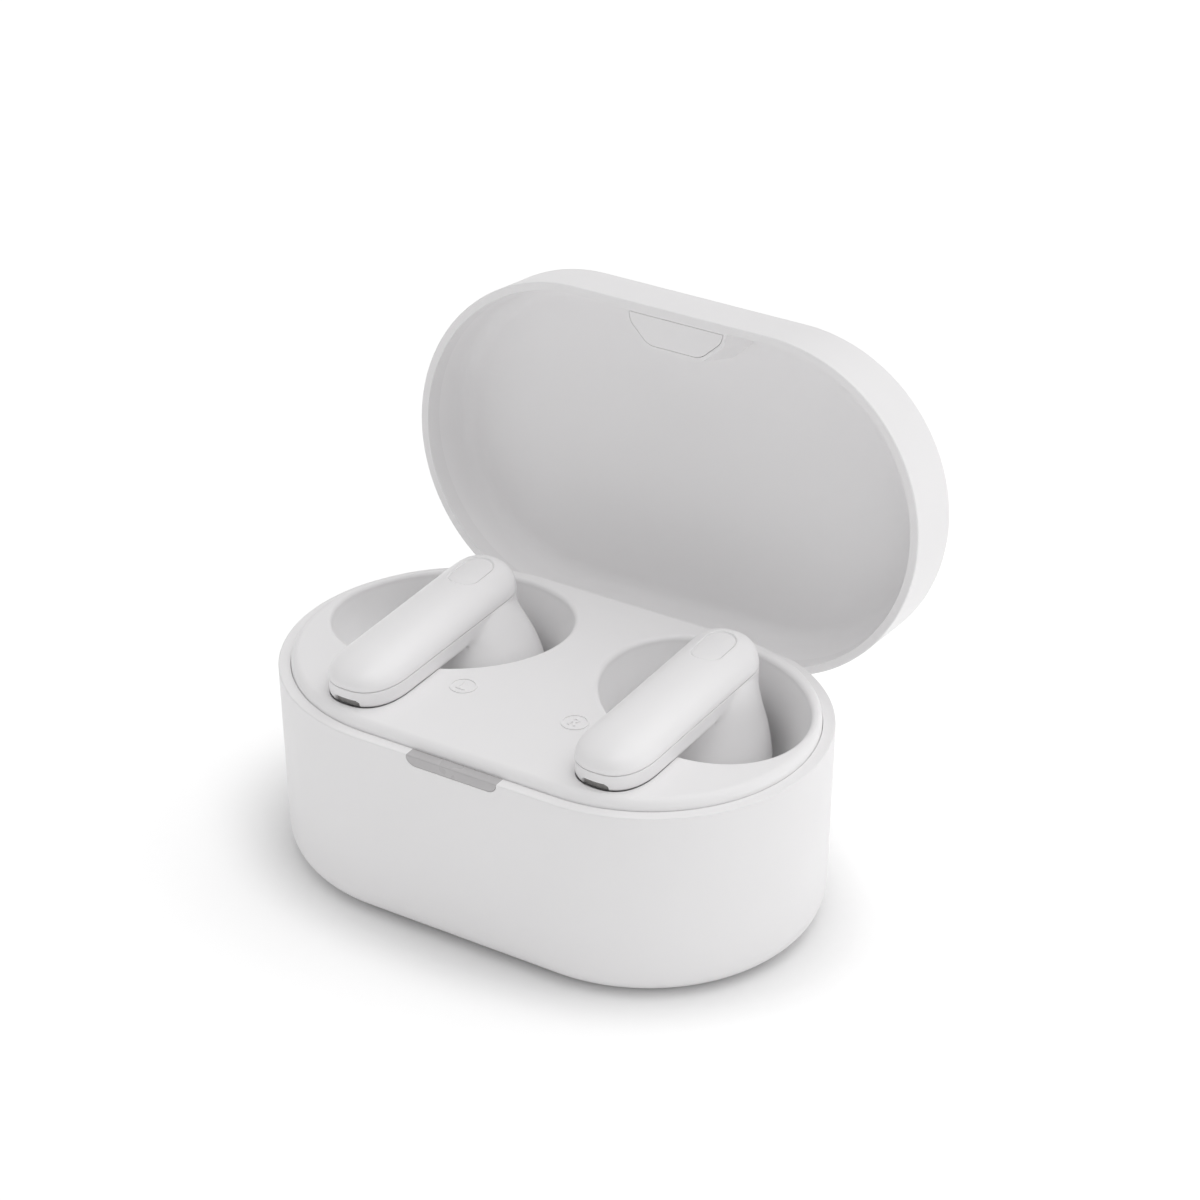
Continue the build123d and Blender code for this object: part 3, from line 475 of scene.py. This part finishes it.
# Head: height, shift towards the case's middle, centre Y, half X, half Y.
HEAD_STEPS = [
    (24.5, 0.0, 6.3, 3.95, 5.6),
    (23.0, 0.2, 6.2, 4.75, 5.85),
    (21.5, 0.5, 6.2, 5.45, 6.3),
    (20.0, 0.85, 6.2, 6.1, 6.8),
    (18.0, 1.0, 6.2, 6.8, 7.4),
    (15.5, 1.1, 6.3, 7.3, 7.7),
    (13.3, 1.05, 6.4, 7.35, 7.55),
    (11.2, 0.9, 6.5, 6.5, 6.5),
    (9.5, 0.8, 6.5, 4.1, 4.1),
]


def smooth_table(rows, z):
    """Smooth interpolation of a table down its height."""
    heights = np.array([row[0] for row in rows][::-1])
    values = np.array([row[1:] for row in rows][::-1])
    slopes = np.gradient(values, heights, axis=0)
    z = np.clip(z, heights[0], heights[-1])
    k = np.clip(np.searchsorted(heights, z) - 1, 0, len(heights) - 2)
    gap = heights[k + 1] - heights[k]
    t = ((z - heights[k]) / gap)[..., None]
    gap = gap[..., None]
    low, high = values[k], values[k + 1]
    return (
        (2 * t**3 - 3 * t**2 + 1) * low
        + (t**3 - 2 * t**2 + t) * gap * slopes[k]
        + (3 * t**2 - 2 * t**3) * high
        + (t**3 - t**2) * gap * slopes[k + 1]
    )


def cap_curve(half, length, power):
    """Quarter of a rounded end: a superellipse from its side to its tip."""
    turn = np.linspace(0, math.pi / 2, CAP_POINTS)
    x = half * np.cos(turn) ** (2 / power)
    y = length * np.sin(turn) ** (2 / power)
    x[-1] = 0.0
    return x, y


def stem_plan(inset, tip=0.0, count=OUTLINE_POINTS):
    """The stem's outline relative to its centre line, evenly spaced along its length."""
    half = STEM_HALF - inset
    front = STEM_FRONT + inset + tip
    back = STEM_BACK - inset
    fx, fy = cap_curve(half, *FRONT_CAP)
    bx, by = cap_curve(half, *BACK_CAP)
    root = front + FRONT_CAP[0]
    tail = back - BACK_CAP[0]
    xs = np.concatenate([fx[::-1], bx, -bx[::-1], -fx])
    ys = np.concatenate([(root - fy)[::-1], tail + by, (tail + by)[::-1], root - fy])
    steps = np.hypot(np.diff(xs), np.diff(ys))
    along = np.concatenate([[0], np.cumsum(steps)])
    keep = np.concatenate([[True], steps > TINY])
    want = np.linspace(0, along[-1], count + 1)[:-1]
    along_kept = along[keep]
    return np.stack(
        [np.interp(want, along_kept, xs[keep]), np.interp(want, along_kept, ys[keep])], axis=1
    )


def polar(outline, centre_y):
    """Distance from a centre on the stem's line to an outline, as a function of direction."""
    dx = outline[:, 0]
    dy = outline[:, 1] - centre_y
    turn = np.arctan2(dy, dx)
    order = np.argsort(turn)
    return turn[order], np.hypot(dx, dy)[order]


def ellipse_reach(turn, x0, y0, a, b):
    """Distance from the origin to an off-centre ellipse along each direction."""
    c, s = np.cos(turn), np.sin(turn)
    p = (c / a) ** 2 + (s / b) ** 2
    q = -2 * (c * x0 / a**2 + s * y0 / b**2)
    r = (x0 / a) ** 2 + (y0 / b) ** 2 - 1
    return (-q + np.sqrt(np.maximum(q * q - 4 * p * r, 0))) / (2 * p)


def gauss_rows(line, sigma, step):
    """Smooths each profile along its length and keeps its two ends where they are."""
    half = int(3 * sigma / step) + 1
    weight = np.exp(-0.5 * (np.arange(-half, half + 1) * step / sigma) ** 2)
    weight /= weight.sum()
    head = 2 * line[:, :1] - line[:, half:0:-1]
    tail = 2 * line[:, -1:] - line[:, -2 : -half - 2 : -1]
    padded = np.concatenate([head, line, tail], axis=1)
    out = np.zeros_like(line)
    for k, w in enumerate(weight):
        out += w * padded[:, k : k + line.shape[1]]
    return out


def head_reach(turn, z):
    """Distance from the head's axis to its surface at one height, along each direction."""
    lean, y, a, b = smooth_table(HEAD_STEPS, np.array([z]))[0]
    return ellipse_reach(turn, -lean, y - HEAD_Y, a, b)


def length_along(profile):
    """Length along a profile at each of its points."""
    steps = np.hypot(*np.diff(profile, axis=0).T)
    return np.concatenate([[0], np.cumsum(steps)])


def bud_profiles():
    """Outer surface of the earbud's lower shell: one profile for each point round the seam."""
    seam = stem_plan(0.0)
    turn = np.arctan2(seam[:, 1] - HEAD_Y, seam[:, 0])
    flank_z = np.linspace(SEAM_Z, STEM_UNDER, FLANK_LEVELS)
    reach = []
    for z in flank_z:
        inset, tip = smooth_table(STEM_STEPS, np.array([z]))[0]
        angles, radii = polar(stem_plan(inset, tip, PLAN_FINE), HEAD_Y)
        stem = np.interp(turn, angles, radii, period=2 * math.pi)
        reach.append(np.maximum(stem, head_reach(turn, z)))
    flank = np.stack([np.array(reach).T, np.tile(flank_z, (len(turn), 1))], axis=2)
    body_z = np.linspace(STEM_UNDER, HEAD_STEPS[-1][0], BODY_LEVELS)
    body_reach = np.array([head_reach(turn, z) for z in body_z]).T
    body = np.stack([body_reach, np.tile(body_z, (len(turn), 1))], axis=2)
    dense = []
    for i in range(len(turn)):
        profile = np.concatenate([flank[i], body[i]])
        dense.append((length_along(profile), profile))
    count = int(max(along[-1] for along, _ in dense) / PROFILE_STEP) + 1
    lines = np.zeros((len(turn), count, 2))
    for i, (along, profile) in enumerate(dense):
        want = np.linspace(0, along[-1], count)
        lines[i, :, 0] = np.interp(want, along, profile[:, 0])
        lines[i, :, 1] = np.interp(want, along, profile[:, 1])
    tight = gauss_rows(lines, EDGE_BLEND, PROFILE_STEP)
    soft = gauss_rows(lines, WAIST_BLEND, PROFILE_STEP)
    rows = np.zeros((len(turn), FLANK_ROWS + BODY_ROWS, 2))
    for i, (along, _) in enumerate(dense):
        edge = along[FLANK_LEVELS - 1]
        share = np.linspace(0, along[-1], count)
        # concave places take the wide blend, convex edges keep the tight one
        start = np.clip((share - edge - WAIST_START) / WAIST_RUN, 0, 1)
        sideways = np.clip(1 - (along[FLANK_LEVELS] - edge) / LEDGE_RUN, 0, 1)
        blend = np.maximum(start, sideways * np.clip(share / WAIST_RUN, 0, 1))[:, None]
        line = tight[i] * (1 - blend) + soft[i] * blend
        upper = np.linspace(0, edge, FLANK_ROWS, endpoint=False)
        where = np.concatenate([upper, np.linspace(edge, along[-1], BODY_ROWS)])
        rows[i, :, 0] = np.interp(where, share, line[:, 0])
        rows[i, :, 1] = np.interp(where, share, line[:, 1])
    return turn, rows


def ring_mesh(name, rings, side, close_ends=True, loop=False):
    """A mesh from rings of points: rings[k, i] is point i of ring k. side is 1, or -1 for a mirrored
    piece. The ends are capped, joined in a loop, or left to close on their own where they meet."""
    count, points = rings.shape[:2]
    verts = rings.reshape(-1, 3).copy()
    verts[:, 0] *= side
    verts *= MM
    faces = []
    last = count if loop else count - 1
    for k in range(last):
        a = k * points
        b = ((k + 1) % count) * points
        for i in range(points):
            j = (i + 1) % points
            faces.append((a + i, a + j, b + j, b + i))
    if close_ends and not loop:
        faces.append(tuple(range(points))[::-1])
        faces.append(tuple((count - 1) * points + i for i in range(points)))
    mesh = bpy.data.meshes.new(name)
    mesh.from_pydata(verts.tolist(), [], faces)
    work = bmesh.new()
    work.from_mesh(mesh)
    bmesh.ops.remove_doubles(work, verts=work.verts, dist=MERGE_MM * MM)
    bmesh.ops.dissolve_degenerate(work, edges=work.edges, dist=DEGENERATE_MM * MM)
    bmesh.ops.recalc_face_normals(work, faces=work.faces)
    work.to_mesh(mesh)
    work.free()
    for polygon in mesh.polygons:
        polygon.use_smooth = True
    mesh.set_sharp_from_angle(angle=SHARP_ANGLE)
    made = bpy.data.objects.new(name, mesh)
    bpy.context.scene.collection.objects.link(made)
    return made


def plan_ring(inset, z):
    """The stem's outline, drawn in by an inset, at one height."""
    flat = stem_plan(inset)
    return np.column_stack([flat[:, 0] + BUD_X, flat[:, 1], np.full(len(flat), z)])


def press_mic_slot(x, y, z):
    """Presses the microphone slot into the tip of the stem."""
    across = np.abs(x - BUD_X)
    spine = np.maximum(across - (MIC_HALF_L - MIC_HALF_H), 0)
    reach = np.hypot(spine, z - MIC_Z)
    sunk = np.clip((MIC_HALF_H - reach) / MIC_EDGE + 0.5, 0, 1)
    sunk = sunk * sunk * (3 - 2 * sunk) * (y < STEM_FRONT + MIC_REACH)
    return y + MIC_DEPTH * sunk


def earbud_shell(side_name, side):
    """Hollow lower shell: tongue at the seam, outer surface, grille opening, then the inner wall."""
    turn, rows = bud_profiles()
    x = BUD_X + rows[..., 0] * np.cos(turn)[:, None]
    y = HEAD_Y + rows[..., 0] * np.sin(turn)[:, None]
    z = rows[..., 1]
    outer = np.stack([x, press_mic_slot(x, y, z), z], axis=2).transpose(1, 0, 2)
    groove_z = SEAM_Z - SEAM_GROOVE / 2
    rings = [
        plan_ring(WALL, STEM_UNDER + WALL),
        plan_ring(WALL, SEAM_Z + TONGUE_TOP),
        plan_ring(TONGUE_IN + TONGUE_BEVEL, SEAM_Z + TONGUE_TOP),
        plan_ring(TONGUE_IN, SEAM_Z + TONGUE_TOP - TONGUE_BEVEL),
        plan_ring(TONGUE_IN, groove_z),
        plan_ring(SEAM_ROUND * 1.6, groove_z),
        plan_ring(SEAM_ROUND * 0.5, groove_z - 0.018),
        plan_ring(0.0, groove_z - SEAM_ROUND * 1.1),
    ]
    rings.extend(ring for ring in outer if ring[:, 2].max() < SEAM_Z - SEAM_FREE)
    lean, centre_y, _, _ = HEAD_STEPS[-1][1:]
    centre = np.array([BUD_X - lean, centre_y])
    for radius, height in GRILLE_RINGS:
        direction = outer[-1][:, :2] - centre
        direction /= np.linalg.norm(direction, axis=1)[:, None]
        flat = centre + direction * radius
        rings.append(np.column_stack([flat, np.full(len(flat), height)]))
    for height in np.linspace(INNER_FLOOR, STEM_UNDER + WALL - 0.2, INNER_ROWS):
        lean, centre_y, half_x, half_y = smooth_table(HEAD_STEPS, np.array([height]))[0]
        half_x = max(half_x - WALL, INNER_MIN_X)
        half_y = max(half_y - WALL, INNER_MIN_Y)
        reach = ellipse_reach(turn, -lean, centre_y - HEAD_Y, half_x, half_y)
        inner_x = BUD_X + reach * np.cos(turn)
        inner_y = HEAD_Y + reach * np.sin(turn)
        rings.append(np.column_stack([inner_x, inner_y, np.full(len(turn), height)]))
    return ring_mesh("earbud_shell_form_" + side_name, np.array(rings), side, loop=True)


def crown_height(x, y, share, powers):
    """Height of the stem's cover over the seam where its plan is shrunk to a share of the outline."""
    along = (y - STEM_FRONT) / (STEM_BACK - STEM_FRONT)
    rise = CROWN_FRONT + (CROWN_BACK - CROWN_FRONT) * along
    return rise * np.maximum(1 - share**powers, 0) ** (1 / powers)


def crown_rows(inset, rows):
    """Rings of the cover's arched surface, from the seam to its ridge."""
    plan = stem_plan(inset)
    root = STEM_FRONT + inset + FRONT_CAP[0]
    tail = STEM_BACK - inset - BACK_CAP[0]
    ridge = np.clip(plan[:, 1], root, tail)
    ahead = np.clip((root - plan[:, 1]) / FRONT_CAP[0], 0, 1)
    behind = np.clip((plan[:, 1] - tail) / BACK_CAP[0], 0, 1)
    front_power, side_power, back_power = CROWN_POWERS
    powers = side_power + (front_power - side_power) * ahead**2 + (back_power - side_power) * behind**2
    rings = []
    for turn in np.linspace(0, math.pi / 2, rows):
        share = math.cos(turn) ** CROWN_SHRINK_POWER if turn < math.pi / 2 - TINY else 0.0
        x = plan[:, 0] * share
        y = ridge + (plan[:, 1] - ridge) * share
        scale = 1 - inset / CROWN_BACK
        rings.append(np.column_stack([x, y, scale * crown_height(x, y, share, powers)]))
    return rings


def touch_inside(x, y):
    """Distance inside the touch area's outline, negative outside it."""
    run = TOUCH_HALF_L - TOUCH_HALF_W
    return TOUCH_HALF_W - np.hypot(x, np.maximum(np.abs(y - TOUCH_Y) - run, 0))


def stem_cover(side_name, side):
    """Arched cover over the stem, with a shallow dish for the touch panel."""
    foot = SEAM_Z + SEAM_GROOVE / 2
    rings = []
    for ring in crown_rows(0.0, COVER_ROWS):
        inside = np.clip(touch_inside(ring[:, 0], ring[:, 1]) / TOUCH_SLOPE + 0.5, 0, 1)
        dish = TOUCH_FLOOR * inside * inside * (3 - 2 * inside)
        rings.append(np.column_stack([ring[:, 0] + BUD_X, ring[:, 1], ring[:, 2] + foot - dish]))
    rings[0][:, 2] += SEAM_ROUND
    under = [
        plan_ring(SEAM_ROUND * 0.4, foot + 0.015),
        plan_ring(SEAM_ROUND * 1.4, foot),
        plan_ring(TONGUE_IN - COVER_TONGUE_GAP, foot),
        plan_ring(TONGUE_IN - COVER_TONGUE_GAP, foot + COVER_TONGUE_TOP),
    ]
    for ring in crown_rows(WALL, COVER_INNER_ROWS):
        height = ring[:, 2] + foot + COVER_TONGUE_TOP
        under.append(np.column_stack([ring[:, 0] + BUD_X, ring[:, 1], height]))
    rings = rings[::-1] + under
    return ring_mesh("earbud_stem_cover_form_" + side_name, np.array(rings), side, close_ends=False)


def crown_point(x, y):
    """Height of the cover's arched surface over the seam, away from its front end."""
    tail = STEM_BACK - BACK_CAP[0]
    power = BACK_CAP[1]
    behind = np.clip((y - tail) / BACK_CAP[0], 0, 1)
    straight = np.abs(x) / STEM_HALF
    share = np.where(behind > 0, (straight**power + behind**power) ** (1 / power), straight)
    edge_behind = np.where(share > 0, behind / np.maximum(share, 1e-6), 0)
    _, side_power, back_power = CROWN_POWERS
    powers = side_power + (back_power - side_power) * np.clip(edge_behind, 0, 1) ** 2
    return crown_height(x, y, share, powers)


def touch_inlay(side_name, side):
    """Thin panel that lies in the cover's touch area and follows its arch."""
    run = TOUCH_HALF_L - TOUCH_HALF_W
    turn = np.linspace(0, 2 * math.pi, TOUCH_POINTS, endpoint=False)
    radius = TOUCH_HALF_W - TOUCH_GAP
    across = np.cos(turn) * radius
    along = np.sin(turn) * radius + np.where(np.sin(turn) > 0, run, -run)
    foot = SEAM_Z + SEAM_GROOVE / 2
    levels = [(share, -TOUCH_TOP - drop) for share, drop in TOUCH_TOP_RINGS]
    levels += [(share, TOUCH_BED - TOUCH_FLOOR) for share in TOUCH_UNDER_RINGS]
    rings = []
    for share, lift in levels:
        x = across * share
        y = TOUCH_Y + along * share
        rings.append(np.column_stack([x + BUD_X, y, foot + crown_point(x, y) + lift]))
    return ring_mesh("earbud_touch_inlay_form_" + side_name, np.array(rings), side, close_ends=False)


def mic_mesh(side_name, side):
    """Woven screen at the bottom of the microphone slot."""
    turn = np.linspace(0, 2 * math.pi, MIC_POINTS, endpoint=False)
    run = MIC_HALF_L - MIC_HALF_H
    offset = np.where(np.cos(turn) > 0, run, -run)
    radius = MIC_HALF_H - MIC_SCREEN_GAP
    cap, power = FRONT_CAP
    rings = []
    for share, depth in MIC_RINGS:
        x = (np.cos(turn) * radius + offset) * share
        z = MIC_Z + np.sin(turn) * radius * share
        swell = cap * (1 - (1 - (np.abs(x) / STEM_HALF) ** power) ** (1 / power))
        rings.append(np.column_stack([x + BUD_X, STEM_FRONT + MIC_SCREEN_BACK + swell + depth, z]))
    return ring_mesh("earbud_mic_screen_" + side_name, np.array(rings), side, close_ends=False)


def add_earbuds(materials):
    for side_name, side in (("right", 1), ("left", -1)):
        body = "earbud_" + side_name
        for make, node_name, slot in (
            (earbud_shell, "earbud_shell", "earbud_plastic"),
            (stem_cover, "earbud_stem_cover", "earbud_plastic"),
            (touch_inlay, "earbud_touch_inlay", "touch_plastic"),
            (mic_mesh, "earbud_mic_mesh", "mesh"),
        ):
            piece = make(side_name, side)
            piece.data.materials.append(materials[slot])
            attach(piece, body)
            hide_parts(node_name + "_" + side_name)


def coil_spring(name):
    """Compression coil with its two end turns wound flat, inside the box of the node it stands for."""
    low, high = (np.array(corner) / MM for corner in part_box(name))
    middle = (low + high) / 2
    coil = (high[0] - low[0]) / 2 - SPRING_WIRE
    along = np.linspace(0, 1, SPRING_STEPS)
    rise = np.clip((along - SPRING_FLAT) / (1 - 2 * SPRING_FLAT), 0, 1)
    centre_z = low[2] + SPRING_WIRE + rise * (high[2] - low[2] - 2 * SPRING_WIRE)
    rings = np.zeros((SPRING_STEPS, SPRING_SIDES, 3))
    for k, share in enumerate(along):
        turn = 2 * math.pi * SPRING_TURNS * share
        for i in range(SPRING_SIDES):
            around = 2 * math.pi * i / SPRING_SIDES
            reach = coil + SPRING_WIRE * math.cos(around)
            x = middle[0] + reach * math.cos(turn)
            y = middle[1] + reach * math.sin(turn)
            rings[k, i] = (x, y, centre_z[k] + SPRING_WIRE * math.sin(around))
    return ring_mesh(name + "_coil", rings, 1)


def add_springs(materials):
    for side in ("left", "right"):
        for place in ("front", "rear"):
            name = f"{place}_spring_{side}"
            piece = coil_spring(name)
            piece.data.materials.append(materials["steel"])
            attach(piece, "base")
            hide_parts(name)
            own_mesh(piece)


def dress_cad_nodes(materials):
    for row in frame["record"]["subparts"]:
        piece = frame["nodes"][row["node"]]
        piece.data.materials.clear()
        piece.data.materials.append(materials[row["material_slot"]])


add_camera()
add_world()
add_stage()
add_sun("key", (0.25, 0.5, 1.0), 0.83, 60.0)
add_sun("overhead", (0.05, -0.1, 1.0), 0.46, 40.0)
add_area("right_side", (0.5, 0.16, 0.15), (0, 0, 0.02), 0.3, 0.28)
add_area("front_fill", (0.5, -0.35, 0.5), (0, 0.01, 0.03), 0.4, 0.1)
finishes = make_materials()
dress_cad_nodes(finishes)
add_earbuds(finishes)
add_springs(finishes)

scene = bpy.context.scene
scene.view_settings.view_transform = "Standard"
